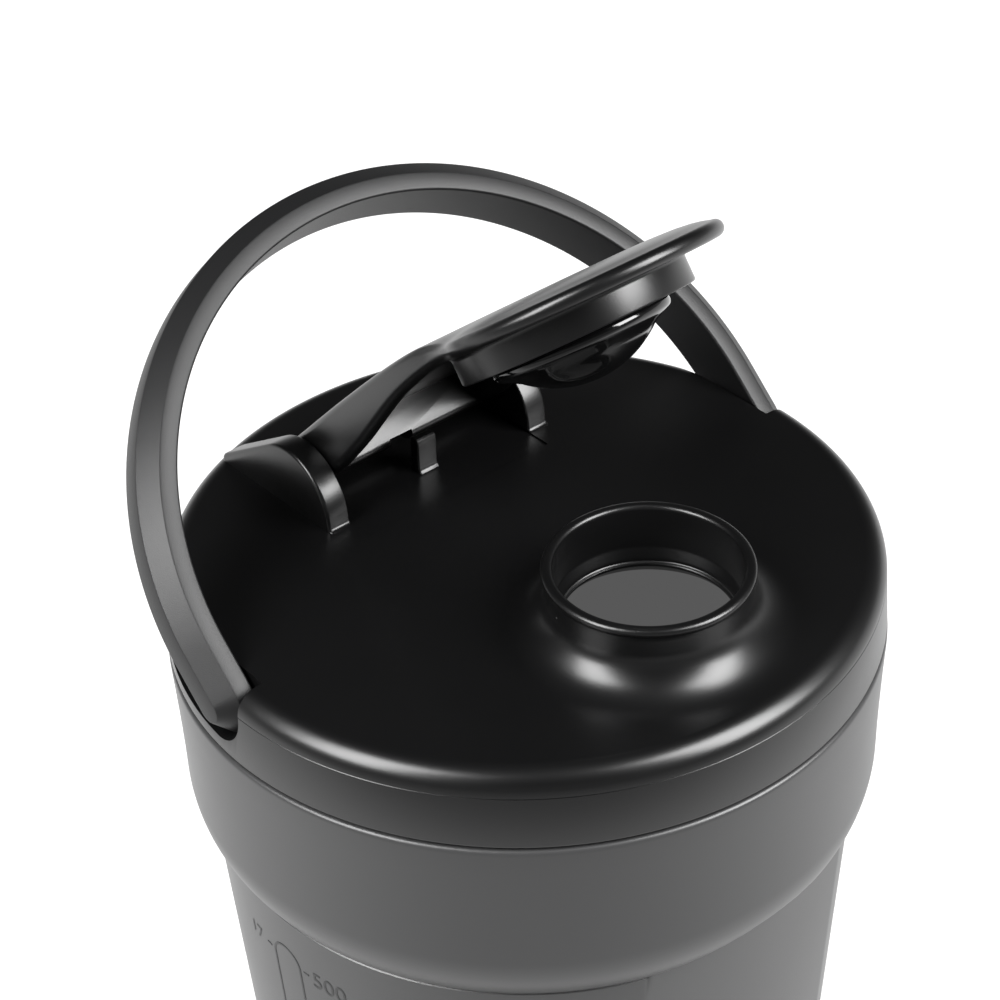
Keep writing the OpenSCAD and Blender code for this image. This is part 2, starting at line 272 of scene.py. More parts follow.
seal_black = plastic("seal_rubber_black", (0.006, 0.006, 0.006, 1), (0.01, 0.01, 0.01, 1),
                     0.5, 0.05, 0.3, 2200)
wire = steel("polished_wire", (0.72, 0.72, 0.74, 1), 0.16)
pin_metal = steel("pin_steel_plain", (0.6, 0.6, 0.61, 1), 0.3)


def dress(ob, mat, node, body):
    ob.data.materials.clear()
    ob.data.materials.append(mat)
    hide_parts(node)
    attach(ob, body)
    return ob


for node_name, mat in (("lid_gasket", seal_black), ("hinge_pin", pin_metal)):
    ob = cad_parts[node_name]
    ob.data.materials.clear()
    ob.data.materials.append(mat)


# ---------------------------------------------------------------- cup
BODY_R, TAPER = 46.1, 0.069          # the body at the seam, and what it loses for each mm down
COLLAR_R, RIM_R, RIM_IN_R = 48.95, 49.6, 46.0
COLLAR_RISE = 8.4                    # height of the soft curve from the seam to the collar
RIM_Z = LID_Z - 8.9
RIM_ROUND, WALL, FOOT_ROUND = 0.6, 2.0, 3.0
PANEL_TURN, PANEL_R, PANEL_FRONT = math.radians(4), 80.0, 44.1
PANEL_LOW, PANEL_FULL, PANEL_FADE = 14, 24, 0.45
NO_PANEL = 999.0                     # a limit that the cup never reaches


def body_r(z):
    return BODY_R - TAPER * (SEAM_Z - z)


def panel_limit(z, a):
    """Radius of the cup's shallow front panel at height z, a radians round from +X."""
    if z < PANEL_LOW or z > SEAM_Z + COLLAR_RISE:
        return NO_PANEL
    face = PANEL_FRONT - TAPER * (SEAM_Z - z)
    if z < PANEL_FULL:
        face += (PANEL_FULL - z) * PANEL_FADE
    if z > SEAM_Z:
        out = RIM_R - PANEL_FRONT
        r = (COLLAR_RISE * COLLAR_RISE + out * out) / (2 * out)
        face = RIM_R - r + math.sqrt(max(0.0, r * r - (SEAM_Z + COLLAR_RISE - z) ** 2))
    behind = PANEL_R - PANEL_FRONT
    t = a + math.pi / 2 - PANEL_TURN
    if math.cos(t) < 0.5:
        return NO_PANEL
    return math.sqrt((face + behind) ** 2 - (behind * math.sin(t)) ** 2) - behind * math.cos(t)


def cup_outside():
    """(radius, height) from the middle of the base up to the top of the rim."""
    turn = 2 * math.degrees(math.atan((COLLAR_R - BODY_R) / COLLAR_RISE))
    belly = COLLAR_RISE / math.sin(math.radians(turn))
    collar_z = SEAM_Z + COLLAR_RISE
    base = body_r(0)
    profile = [(0, 2), (base - 5.0, 2), (base - 4.5, 1.7), (base - 4.2, 0.4), (base - 3.8, 0.05)]
    profile += arc(base - 2.9, FOOT_ROUND, FOOT_ROUND, -96, 0, 12)
    profile += [(body_r(z), z) for z in range(8, int(SEAM_Z) - 1, 3)]
    profile += [(46.08, SEAM_Z - 0.35), (45.93, SEAM_Z - 0.2), (45.93, SEAM_Z - 0.1), (BODY_R, SEAM_Z)]
    profile += arc(COLLAR_R - belly, collar_z, belly, -turn, 0, 16)[1:]
    profile += [(COLLAR_R + 0.65 * t ** 1.6, collar_z + (RIM_Z - 0.9 - SEAM_Z - COLLAR_RISE) * t)
                for t in (0.2, 0.4, 0.6, 0.8, 1.0)]
    return profile + arc(RIM_R - RIM_ROUND, RIM_Z - RIM_ROUND, RIM_ROUND, 0, 90, 5)


def cup_inside():
    """(radius, height) from the top of the rim down to the middle of the floor."""
    corner_z, corner_r, floor_z = 11, 6, 5
    profile = arc(RIM_IN_R + RIM_ROUND, RIM_Z - RIM_ROUND, RIM_ROUND, 90, 180, 5)
    profile += [(RIM_IN_R, SEAM_Z + 8), (BODY_R - WALL, SEAM_Z)]
    profile += [(body_r(z) - WALL, z) for z in (60, 24, corner_z)]
    profile += arc(body_r(corner_z) - WALL - corner_r, corner_z, corner_r, 0, -90, 8)
    return profile + [(20, floor_z), (0, floor_z)]


def make_cup():
    rings = []
    for wall, profile in ((0.0, cup_outside()), (WALL, cup_inside())):
        for r, z in profile:
            ring = []
            for x, y, height in circle_pts(max(r, 1e-4), z, CUP_AROUND):
                keep = (panel_limit(z, math.atan2(y, x)) - wall) / r if r > 30 else 1.0
                ring.append((x * min(1.0, keep), y * min(1.0, keep), height))
            rings.append(ring)
    bm = bmesh.new()
    rings_to(bm, rings)
    for start in (0, 180):
        helix(bm, 44.7, 1.0, 46.4, 1.9, LID_Z - 19.5, 216, start, True)
    return finish_mesh(bm, "cup_moulding", 30)


cup = dress(make_cup(), grey, "cup", "cup")
# Painted light: the cup's inner wall and floor get a lighter grey that glows a little, though no lamp lights
# them.
inside = plastic("grey_plastic_inside_painted_glow", (0.05, 0.05, 0.051, 1), (0.06, 0.06, 0.061, 1),
                 0.3, 0.03, 0.1, 5000, gloss=0.5)
painted_glow_bsdf = inside.node_tree.nodes["Principled BSDF"]
painted_glow_bsdf.inputs["Emission Color"].default_value = (1, 1, 1, 1)
painted_glow_bsdf.inputs["Emission Strength"].default_value = 0.09
cup.data.materials.append(inside)
# The inner wall and floor faces take the painted glow.
for face in cup.data.polygons:
    outward = face.normal.x * face.center.x + face.normal.y * face.center.y
    on_wall = outward < -0.5 * face.center.xy.length
    on_floor = face.normal.z > 0.5 and face.center.z < 11 * MM
    if 4.5 * MM < face.center.z < 142 * MM and (on_wall or on_floor):
        face.material_index = 1


def on_body(along, z, lift, turn):
    """A point on the cup's side, along millimetres round from the azimuth turn (0 is -Y, 90 is +X)."""
    r = body_r(z) + lift
    a = math.radians(turn) + along / body_r(z)
    return r * math.sin(a), -r * math.cos(a), z


def ribbon(bm, path, half, turn, closed=False):
    """A low raised line along a path of (along, z) points."""
    n = len(path)
    rings = []
    for i, (x, z) in enumerate(path):
        x0, z0 = path[i - 1] if closed or i else path[i]
        x1, z1 = path[(i + 1) % n] if closed or i < n - 1 else path[i]
        t = Vector((x1 - x0, z1 - z0)).normalized()
        rings.append([on_body(x + t.y * d, z - t.x * d, lift, turn)
                      for d, lift in ((half, -0.05), (half * 0.8, 0.06),
                                      (-half * 0.8, 0.06), (-half, -0.05))])
    rings_to(bm, rings, ends=not closed, loop=closed)


SCALE_TURN = -89                # azimuth of the scale's middle
SCALE_TOP, SCALE_LOW, SCALE_HALF = SEAM_Z - 6.5, 22.0, 2.75
MARK_TOP, MARK_STEP, MARKS = SEAM_Z - 9.0, 17.5, 5


def scale_outline():
    """The long rounded frame between the two rows of numbers."""
    half, straight = SCALE_HALF, SCALE_TOP - SCALE_LOW - 2 * SCALE_HALF
    path = [(half * math.cos(math.radians(t)), SCALE_TOP - half + half * math.sin(math.radians(t)))
            for t in range(0, 181, 10)]
    path += [(-half, SCALE_TOP - half - straight * k / 24) for k in range(1, 24)]
    path += [(half * math.cos(math.radians(t)), SCALE_LOW + half + half * math.sin(math.radians(t)))
             for t in range(180, 361, 10)]
    return path + [(half, SCALE_LOW + half + straight * k / 24) for k in range(1, 24)]


def add_number(bm, label, along, z, size):
    """Lays a number on the cup's side, in Blender's built-in font."""
    curve = bpy.data.curves.new("digits", "FONT")
    curve.body = label
    curve.size = size
    curve.resolution_u = 4
    holder = bpy.data.objects.new("digits", curve)
    bpy.context.scene.collection.objects.link(holder)
    bpy.context.view_layer.update()
    deps = bpy.context.evaluated_depsgraph_get()
    flat = bpy.data.meshes.new_from_object(holder.evaluated_get(deps))
    start = len(bm.verts)
    bm.from_mesh(flat)
    bm.verts.ensure_lookup_table()
    for v in bm.verts[start:]:
        v.co = on_body(along + v.co.x, z - size * 0.36 + v.co.y, 0.05, SCALE_TURN)
    bpy.data.objects.remove(holder)
    bpy.data.meshes.remove(flat)
    bpy.data.curves.remove(curve)


def make_scale():
    bm = bmesh.new()
    ribbon(bm, scale_outline(), 0.22, SCALE_TURN, closed=True)
    for k in range(MARKS):
        z = MARK_TOP - MARK_STEP * k
        for sign in (1, -1):
            ribbon(bm, [(sign * 3.6, z), (sign * 4.6, z)], 0.16, SCALE_TURN)
        add_number(bm, str(500 - 100 * k), 5.2, z, 4.2)
        add_number(bm, str(17 - 3 * k), -9.4, z, 3.4)
    ob = finish_mesh(bm, "cup_scale", 30, weld=0)
    ob.data.materials.append(ink)
    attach(ob, "cup")


make_scale()


# ---------------------------------------------------------------- lid
SPOUT_Y = -24.9
SPOUT_IN_R, SPOUT_OUT_R, SPOUT_FOOT_R = 12.4, 13.7, 20.4
SPOUT_FOOT_RISE, SPOUT_LIP_Z = 4.8, 11.75
HINGE_Y, HINGE_Z = 29.2, 6.42
DOME_H, DOME_SPHERE_R, DOME_EDGE_R, SHOULDER_R = 3.9, 1000, 45.9, 3.2
CEILING_R, CEILING_EDGE_R, CEILING_Z = 40.1, 13.6, 1.0
PAD_X, PAD_Y0, PAD_Y1, PAD_Z, PAD_GAP = 16.1, 13.7, 37.0, 3.4, 0.16
PIVOT_Y, PIVOT_Z = 4.0, -1.5         # the handle's pivots
SLOT_HALF, SLOT_WALL, SLOT_FOLD_Y, SLOT_FRONT_Y = 5.0, 44.9, 10.8, -1.0
EAR_Y, EAR_Z, EAR_R, EAR_SLOPE = 26.5, 4.4, 8.5, 33.0
EAR_FRONT_Y, EAR_TAIL_Y, EAR_BACK_Y, EAR_LOW_Z = 17.4, 43.0, 43.1, 1.5


def dome_z(r):
    return DOME_H - r * r / (2 * DOME_SPHERE_R)


def lid_skirt(zt):
    """(radius, height) from the dome's edge, round the shoulder and skirt, to the edge of the ceiling."""
    skirt = arc(DOME_EDGE_R, zt - SHOULDER_R, SHOULDER_R, 87, 3, 18)
    skirt += [(49.1, zt - 3.3), (49.05, zt - 3.38), (49.11, zt - 3.46), (49.5, -8.0), (49.42, -8.25),
              (49.2, -8.4), (48.0, -8.4), (48.0, -7.5), (44.0, -7.5), (44.0, -22.6), (43.8, -23)]
    return skirt + [(41.9, -23), (41.6, -22.8), (41.6, -0.5), (41.2, 0.6), (CEILING_R, CEILING_Z)]


def spout_wall():
    """(radius, height) round the spout, from the lid's ceiling, up the inside, over the lip and down."""
    inner = [(CEILING_EDGE_R, CEILING_Z), (12.6, 1.9), (11.75, 2.9), (11.6, 3.1), (11.6, 3.45),
             (11.68, 3.58), (11.85, 3.64), (11.95, 3.75), (12.0, 4.3), (12.08, 4.42), (12.14, 4.9),
             (12.22, 5.02), (12.28, 5.5), (12.36, 5.62), (12.4, 6.1), (12.4, 8.0), (12.4, 11.75)]
    lip = [(SPOUT_IN_R + dr, SPOUT_LIP_Z + dz)
           for dr, dz in ((0.05, 0.3), (0.2, 0.5), (0.42, 0.63), (0.65, 0.65))]
    outer = [(13.45, 12.38), (13.7, 12.28), (13.9, 12.08), (13.98, 11.8), (13.93, 11.5), (13.78, 11.25),
             (13.7, 11.0), (13.7, 10.5)]
    return inner + lip + outer


def make_lid_shell():
    ang = [2 * math.pi * i / AROUND for i in range(AROUND)]
    zb = dome_z(-SPOUT_Y)
    rings = []

    def spout_ring(r, z, blend=0.0):
        ring = []
        for a in ang:
            x, y = SPOUT_FOOT_R * math.cos(a), SPOUT_Y + SPOUT_FOOT_R * math.sin(a)
            lift = (dome_z(math.hypot(x, y)) - zb) * blend
            ring.append((r * math.cos(a), SPOUT_Y + r * math.sin(a), LID_Z + z + lift))
        rings.append(ring)

    for r, z in spout_wall():
        spout_ring(r, z)
    steps = 14
    for k in range(steps + 1):
        a = math.radians(180 + 90 * k / steps)
        r = SPOUT_FOOT_R + (SPOUT_FOOT_R - SPOUT_OUT_R) * math.cos(a)
        w = k / steps
        spout_ring(r, zb + SPOUT_FOOT_RISE + SPOUT_FOOT_RISE * math.sin(a), w * w * (3 - 2 * w))
    for k in range(1, 25):
        w = k / 24
        ring = []
        for a in ang:
            x0, y0 = SPOUT_FOOT_R * math.cos(a), SPOUT_Y + SPOUT_FOOT_R * math.sin(a)
            x1, y1 = DOME_EDGE_R * math.cos(a), DOME_EDGE_R * math.sin(a)
            x, y = x0 + (x1 - x0) * w, y0 + (y1 - y0) * w
            ring.append((x, y, LID_Z + dome_z(math.hypot(x, y))))
        rings.append(ring)
    rings += [circle_pts(r, LID_Z + z, AROUND) for r, z in lid_skirt(dome_z(DOME_EDGE_R))]
    for k in range(1, 8):
        w = k / 8
        r = CEILING_R + (CEILING_EDGE_R - CEILING_R) * w
        rings.append([(r * math.cos(a), SPOUT_Y * w + r * math.sin(a), LID_Z + CEILING_Z) for a in ang])
    bm = bmesh.new()
    rings_to(bm, rings, loop=True)
    return finish_mesh(bm, "lid_shell", 30, weld=0.0005)


def cut_pad(shell):
    """A flat pad for the cap's arm, just under the dome on the spout's side."""
    low = [(-PAD_X, PAD_Y0), (PAD_X, PAD_Y0), (PAD_X, PAD_Y1), (-PAD_X, PAD_Y1)]
    high = [(x * (1 + PAD_GAP / abs(x)), y + (-PAD_GAP if y < 20 else PAD_GAP)) for x, y in low]
    bm = bmesh.new()
    rings_to(bm, [[(x, y, LID_Z + z) for x, y in outline]
                  for outline, z in ((low, PAD_Z), (low, 3.6), (high, 6))], ends=True)
    cut(shell, finish_mesh(bm, "recess", 30))


def slot_wall_x(y):
    """How far out the slot's back wall stands at y. It follows the lid round behind its fold."""
    if y <= SLOT_FOLD_Y:
        return SLOT_WALL
    return math.sqrt(max(0.0, SLOT_WALL * SLOT_WALL - (y - SLOT_FOLD_Y) ** 2))


def cut_slot(shell, side):
    """The slot that takes the handle's leg, with a round lower front corner."""
    corner = arc(PIVOT_Y, PIVOT_Z, SLOT_HALF, 180, 270, 15)
    prof = [(SLOT_FRONT_Y, 18.5)] + corner + [(44, -6.5), (44, 18.5)]
    fine = []
    for (ya, za), (yb, zb) in zip(prof, prof[1:] + prof[:1]):
        m = max(1, int(abs(yb - ya) / 1.0))
        fine += [(ya + (yb - ya) * k / m, za + (zb - za) * k / m) for k in range(m)]
    bm = bmesh.new()
    outer = [bm.verts.new((side * 60.0, y, LID_Z + z)) for y, z in fine]
    inner = [bm.verts.new((side * slot_wall_x(y), y, LID_Z + z)) for y, z in fine]
    for i in range(len(fine)):
        j = (i + 1) % len(fine)
        bm.faces.new((outer[i], outer[j], inner[j], inner[i]))
    bm.faces.new(outer[::-1])
    back = bm.faces.new(inner)
    bmesh.ops.triangulate(bm, faces=[back], quad_method="BEAUTY", ngon_method="BEAUTY")
    cut(shell, finish_mesh(bm, "slot_cut", 30, weld=0.0005))


def make_ear(x0, x1, round_x0, round_x1):
    slope = math.radians(EAR_SLOPE)
    slope_y, slope_z = EAR_Y + EAR_R * math.sin(slope), EAR_Z + EAR_R * math.cos(slope)
    back_z = slope_z - (EAR_TAIL_Y - slope_y) * math.tan(slope)
    prof = [(EAR_FRONT_Y, 3.6), (17.62, 3.66), (17.85, 3.82), (18.0, 4.1)]
    prof += arc(EAR_Y, EAR_Z, EAR_R, 184, 90 - EAR_SLOPE, 28)[2:]
    prof += [(42.3, back_z + 0.42), (42.8, back_z + 0.05), (EAR_BACK_Y, back_z - 0.4),
             (EAR_BACK_Y, EAR_LOW_Z), (EAR_FRONT_Y, EAR_LOW_Z)]
    bm = bmesh.new()
    prism_x(bm, [(y, LID_Z + z) for y, z in prof], x0, x1, round_x0, round_x1)
    return finish_mesh(bm, "ear", 34)


def make_rib():
    half = 1.7
    prof = [(20.2, 3.3), (20.35, 3.45), (20.55, 3.62), (20.69, 3.9), (20.75, 4.3), (20.75, 8.0),
            (20.8, 8.35), (20.95, 8.65), (21.2, 8.8), (22.1, 8.78), (22.35, 8.65), (22.5, 8.3), (22.5, 3.3)]
    bm = bmesh.new()
    prism_x(bm, [(y, LID_Z + z) for y, z in prof], -half, half, 0.25, 0.25)
    return finish_mesh(bm, "rib", 34)


def make_lid():
    shell = make_lid_shell()
    cut_pad(shell)
    for side in (-1, 1):
        cut_slot(shell, side)
    parts = [shell, make_ear(-19.7, -PAD_X, 0.5, 0.25), make_ear(PAD_X, 19.7, 0.25, 0.5), make_rib()]
    bm = bmesh.new()
    for start in (0, 180):
        helix(bm, 43.6, 1.9, 45.3, 1.0, LID_Z - 20, 315, start + 90, False)
    parts.append(finish_mesh(bm, "lid_thread", 30))
    return join("lid_moulding", parts, 30)


dress(make_lid(), black, "lid", "lid")


# ---------------------------------------------------------------- flip cap
# Drawn closed about its hinge axis, u forward and v up, and then opened. ARM_TOP and ARM_LOW are (u, v).
OPEN = math.radians(38)
PLUG_U = HINGE_Y - SPOUT_Y
BRIM_U, BRIM_R, ARM_HALF, BLEND = 59.0, 19.0, 15.8, 20.0
BLOCK_R, BLOCK_HALF, NOTCH_HALF = 2.75, 15.76, 1.95
RING_IN_R, RING_OUT_R, RING_LOW_V = 14.6, 16.0, 2.18
POST_R, POST_LOW_V = 5.0, 4.08
ARM_TOP = [(0, 4.2), (3.4, 4.65), (18.3, 6.68), (32, 8.27), (38.3, 8.8), (44, 9.03), (50, 9.15), (60, 9.2)]
ARM_LOW = [(0, -2.6), (1.7, -2.55), (5.8, -2.42), (8.9, -2.18), (14, -1.1), (19.9, 0.35), (25, 1.86),
           (30.3, 3.4), (34, 4.3), (37.5, 4.95), (41, 5.5), (44.8, 5.9), (49.5, 6.0), (60, 6.0)]


def cap_place(ob):
    """Closed pose about the hinge axis (u forward = -Y, v up) to where the cap stands."""
    m = Matrix.Translation((0, HINGE_Y * MM, (LID_Z + HINGE_Z) * MM)) @ Matrix.Rotation(-OPEN, 4, "X")
    ob.data.transform(m)
    return ob


def smooth_table(pts, u):
    """A cubic curve through the points, at u."""
    if u <= pts[0][0]:
        return pts[0][1]
    n = len(pts)
    for i in range(n - 1):
        (a, va), (b, vb) = pts[i], pts[i + 1]
        if u <= b:
            here = (vb - va) / (b - a)
            before = (va - pts[i - 1][1]) / (a - pts[i - 1][0]) if i else here
            after = (pts[i + 2][1] - vb) / (pts[i + 2][0] - b) if i + 2 < n else here
            m0, m1 = (before + here) / 2, (here + after) / 2
            t, h = (u - a) / (b - a), b - a
            return ((2 * t ** 3 - 3 * t ** 2 + 1) * va + (t ** 3 - 2 * t ** 2 + t) * h * m0
                    + (3 * t ** 2 - 2 * t ** 3) * vb + (t ** 3 - t ** 2) * h * m1)
    return pts[-1][1]


def arm_ceiling(u):
    """Height of the hollow's roof under the arm."""
    return min(6.0, 2.7 + 0.115 * max(0.0, u - 1.7))


def cap_plan():
    """Half of the cap's outline: (x, u, inward normal), from the hinge to the middle of the brim."""
    blend_x = ARM_HALF + BLEND
    blend_u = BRIM_U - math.sqrt((BRIM_R + BLEND) ** 2 - blend_x ** 2)
    meet = math.atan2(BRIM_U - blend_u, blend_x)
    pts = [(ARM_HALF, 1.0 + (blend_u - 1.0) * k / 44, 1.0, 0.0) for k in range(44)]
    for k in range(12):
        a = meet * k / 12
        c, sn = math.cos(a), math.sin(a)
        pts.append((blend_x - BLEND * c, blend_u + BLEND * sn, c, -sn))
    for k in range(73):
        a = -meet + (math.pi / 2 + meet) * k / 72
        pts.append((BRIM_R * math.cos(a), BRIM_U + BRIM_R * math.sin(a), math.cos(a), math.sin(a)))
    return pts


def cap_section(u):
    """(inset from the outline, height) round the edge of the cap, from its top to its underside."""
    w = min(1.0, max(0.0, (u - 41.0) / 11.0))
    b = w * w * (3 - 2 * w)
    top, low, roof = smooth_table(ARM_TOP, u), smooth_table(ARM_LOW, u), arm_ceiling(u)
    rt, rb = 0.9 + 0.2 * b, 1.35 - 0.25 * b
    crown = ((11.0, 0.0), (8.0, 0.05), (5.5, 0.18), (3.6, 0.4), (2.3, 0.65))
    out = [(d, top - b * drop) for d, drop in crown]
    edge = top - b
    for k in range(9):
        a = math.pi / 2 * k / 8
        out.append((rt * (1 - math.sin(a)), edge - rt * (1 - math.cos(a))))
    for k in range(9):
        a = math.pi / 2 * k / 8
        out.append((rb * (1 - math.cos(a)), low + rb * (1 - math.sin(a))))
    rise = max(0.0, roof - low)
    out += [(1.5, low), (1.6, low + min(0.1, rise * 0.4)), (1.6, low + max(0.1, rise - 0.5) * (rise > 0.2)),
            (1.66, roof - min(0.2, rise * 0.3)), (1.95, roof), (3.0, roof)]
    return out


def make_cap_plate():
    """The arm and the brim, skinned from one half's sections and its mirror."""
    plan = cap_plan()
    count = len(cap_section(0))
    bm = bmesh.new()
    halves = []
    for side in (1, -1):
        rows = []
        for k in range(count):
            row = []
            for x, u, nx, nu in plan:
                d, v = cap_section(u)[k]
                row.append(bm.verts.new((side * max(0.0, x - nx * d), -(u - nu * d), v)))
            rows.append(row)
        halves.append(rows)
        for a, b in zip(rows, rows[1:]):
            for i in range(len(plan) - 1):
                bm.faces.new((a[i], a[i + 1], b[i + 1], b[i]))
    for row in (0, -1):
        r, l = halves[0][row], halves[1][row]
        for i in range(len(plan) - 1):
            bm.faces.new((r[i], r[i + 1], l[i + 1], l[i]))
    back_right = [halves[0][k][0] for k in range(count)]
    back_left = [halves[1][k][0] for k in range(count - 1, -1, -1)]
    bm.faces.new(back_right + back_left)
    plate = finish_mesh(bm, "cap_plate", 30, weld=0.001)
    # This cut goes wrong: it leaves a disc at v 3 across the plug's seat, which the closed cap's spout meets.
    bm = bmesh.new()
    rings_to(bm, [circle_pts(RING_IN_R, v, 128, 0, -PLUG_U) for v in (3.0, 7.38)], ends=True)
    cut(plate, finish_mesh(bm, "cap_recess", 30))
    return plate


def make_cap_block():
    """The solid bar at the hinge, with a notch for the lid's rib."""
    prof = [(-1.7, 2.9), (-1.7, -1.75), (-1.62, -2.1), (-1.42, -2.38), (-1.12, -2.53), (-0.8, -2.63)]
    prof += arc(0, 0, BLOCK_R, -90, 0, 12)
    prof += [(2.78, 0.8), (2.7, 1.6), (2.5, 2.4), (2.1, 3.1), (1.5, 3.7), (0.8, 4.05), (0.0, 4.2),
             (-1.1, 4.3)]
    bm = bmesh.new()
    prism_x(bm, prof, -BLOCK_HALF, BLOCK_HALF, 0.5, 0.5)
    block = finish_mesh(bm, "cap_block", 34)
    bm = bmesh.new()
    prism_x(bm, [(-6, -1.6), (-6, -5), (6, -5), (6, -1.6)], -NOTCH_HALF, NOTCH_HALF)
    cut(block, finish_mesh(bm, "cap_notch", 30))
    return block


def make_cap_ring():
    """The ring that closes round the outside of the spout."""
    ring = [(RING_IN_R, 6.3), (RING_IN_R, 2.5), (14.68, 2.28), (14.85, RING_LOW_V), (15.75, RING_LOW_V),
            (15.92, 2.26), (RING_OUT_R, 2.45), (RING_OUT_R, 5.4), (16.06, 5.7), (16.25, 5.92), (16.5, 6.0),
            (16.5, 6.3)]
    bm = bmesh.new()
    lathe(bm, ring, 192, 0, -PLUG_U, loop=True)
    return finish_mesh(bm, "cap_ring", 34)


def make_cap_post():
    bm = bmesh.new()
    lathe(bm, [(0, 8), (POST_R, 8), (POST_R, POST_LOW_V), (0, POST_LOW_V)], 64, 0, -PLUG_U)
    return finish_mesh(bm, "cap_post", 34)


def make_cap_marks():
    """Two short raised dashes under the arm."""
    half_long, half_wide, turn = 1.1, 0.22, math.radians(20)
    c, sn = math.cos(turn), math.sin(turn)
    bm = bmesh.new()
    for x, u in ((-5.2, 17.0), (-3.0, 15.2)):
        corner = [(x + dx * c - du * sn, u + dx * sn + du * c)
                  for dx, du in ((-half_long, -half_wide), (half_long, -half_wide),
                                 (half_long, half_wide), (-half_long, half_wide))]
        rings_to(bm, [[(px, -pu, arm_ceiling(pu) + dz) for px, pu in corner] for dz in (0.2, -0.12)],
                 ends=True)
    return finish_mesh(bm, "cap_marks", 30)


def make_cap():
    parts = [make_cap_plate(), make_cap_block(), make_cap_ring(), make_cap_post(), make_cap_marks()]
    return cap_place(join("cap_moulding", parts, 30))


dress(make_cap(), black, "flip_cap", "cap")


def make_plug():
    bm = bmesh.new()
    prof = [(0, 4.08), (4.95, 4.08), (4.95, 7.36), (14.5, 7.36), (14.5, 6.3), (14.3, 6.12), (11.4, 6.1),
            (10.95, 5.9), (10.75, 5.4), (10.75, 3.9)]
    prof += [(10.85, 3.35), (11.1, 2.75)] + arc(11.0, 1.55, 1.15, 55, -40, 10)
    prof += [(10.8, 0.28), (9.9, -0.17), (9.4, -0.47)]
    prof += arc(0, 9.98, 14, -49, -90, 16)
    lathe(bm, prof, 192, 0, -PLUG_U)
    return cap_place(finish_mesh(bm, "plug_moulding", 34))


dress(make_plug(), soft_black, "cap_plug", "cap")


# ---------------------------------------------------------------- handle
LEAN = math.radians(47)
IN_R, THICK, DEEP, BEVEL = 45.4, 5.05, 9.0, 2.45
LEG = 6.8              # straight length of each leg, from the pivots to the arch
STUB_R, STUB_TIP_X = 2.6, 43.2


def handle_section():
    """(radius, depth) round the bar, from the middle of the inner face to the middle of the outer one."""
    h, out_r = DEEP / 2, IN_R + THICK
    half = [(IN_R, 0), (IN_R, h - 1.5), (IN_R, h - 0.5)] + arc(IN_R + 0.35, h - 0.35, 0.35, 180, 90, 4)
    half += [(out_r - BEVEL - 0.25, h), (out_r - BEVEL - 0.02, h - 0.06), (out_r - BEVEL + 0.1, h - 0.17)]
    half += [(out_r - 0.22, h - BEVEL + 0.2), (out_r - 0.06, h - BEVEL + 0.02), (out_r, h - BEVEL - 0.22)]
    return half + [(out_r, 0)]


def make_handle():
    half = handle_section()
    loop = half + [(r, -d) for r, d in reversed(half)][1:-1]
    rings = [[(r, -d, LEG * k / 4) for r, d in loop] for k in range(4)]
    arch = 180
    for k in range(arch + 1):
        a = math.pi * k / arch
        rings.append([(r * math.cos(a), -d, LEG + r * math.sin(a)) for r, d in loop])
    rings += [[(-r, -d, LEG * k / 4) for r, d in loop] for k in range(3, -1, -1)]
    bm = bmesh.new()
    rings_to(bm, rings)
    stub = [(STUB_R, IN_R + 0.1), (STUB_R, 43.5), (2.3, STUB_TIP_X), (0.001, STUB_TIP_X)]
    turn = [2 * math.pi * i / 48 for i in range(48)]
    for side in (1, -1):
        fan = []
        for k in range(25):
            a = math.pi * k / 24
            fan.append([(side * r, -d * math.cos(a), -d * math.sin(a)) for r, d in half])
        rings_to(bm, fan, around=False)
        rings_to(bm, [[(side * x, r * math.cos(a), r * math.sin(a)) for a in turn] for r, x in stub])
    ob = finish_mesh(bm, "handle_moulding", 24, weld=0.001)
    pivot = Matrix.Translation((0, PIVOT_Y * MM, (LID_Z + PIVOT_Z) * MM))
    ob.data.transform(pivot @ Matrix.Rotation(-LEAN, 4, "X"))
    return ob


dress(make_handle(), handle_black, "handle", "handle")


# ---------------------------------------------------------------- whisk ball
BALL_R, WIRE_R, BALL_TURNS = 25, 1.1, 7
BALL_REST_Z = 5 + BALL_R + 0.3       # the ball's middle, a hair over the cup's floor


def make_ball():
    """One wire wound from near the bottom of a sphere to near its top."""
    per_turn, sides, r = 60, 12, BALL_R - WIRE_R
    total = BALL_TURNS * per_turn
    spine = []
    for i in range(-1, total + 2):
        a = 2 * math.pi * BALL_TURNS * i / total
        lat = math.radians(-78 + 156 * i / total)
        spine.append(Vector((r * math.cos(lat) * math.cos(a), r * math.cos(lat) * math.sin(a),
                             r * math.sin(lat))))
    lift = Vector((0, 0, BALL_REST_Z))
    around = [2 * math.pi * k / sides for k in range(sides)]
    rings = []
    for before, here, after in zip(spine, spine[1:], spine[2:]):
        along = (after - before).normalized()
        out = (here - here.dot(along) * along).normalized()
        across = along.cross(out)
        rings.append([tuple(here + WIRE_R * (math.cos(t) * out + math.sin(t) * across) + lift)
                      for t in around])
    bm = bmesh.new()
    rings_to(bm, rings, ends=True)
    return finish_mesh(bm, "whisk_wire", 40, weld=0)


dress(make_ball(), wire, "whisk_ball", "whisk")


# ---------------------------------------------------------------- stage, lights, camera
# The floor's glow is painted light: strong round and behind the bottle, faint in front of it.
FLOOR_AHEAD = (-0.627, -0.779, 0)    # the way across the floor along which its glow fades
FLOOR_GLOW, FLOOR_GLOW_AHEAD = 1.0, 0.12
FADE_FROM, FADE_TO = 0.06, 0.26      # metres from the bottle's axis
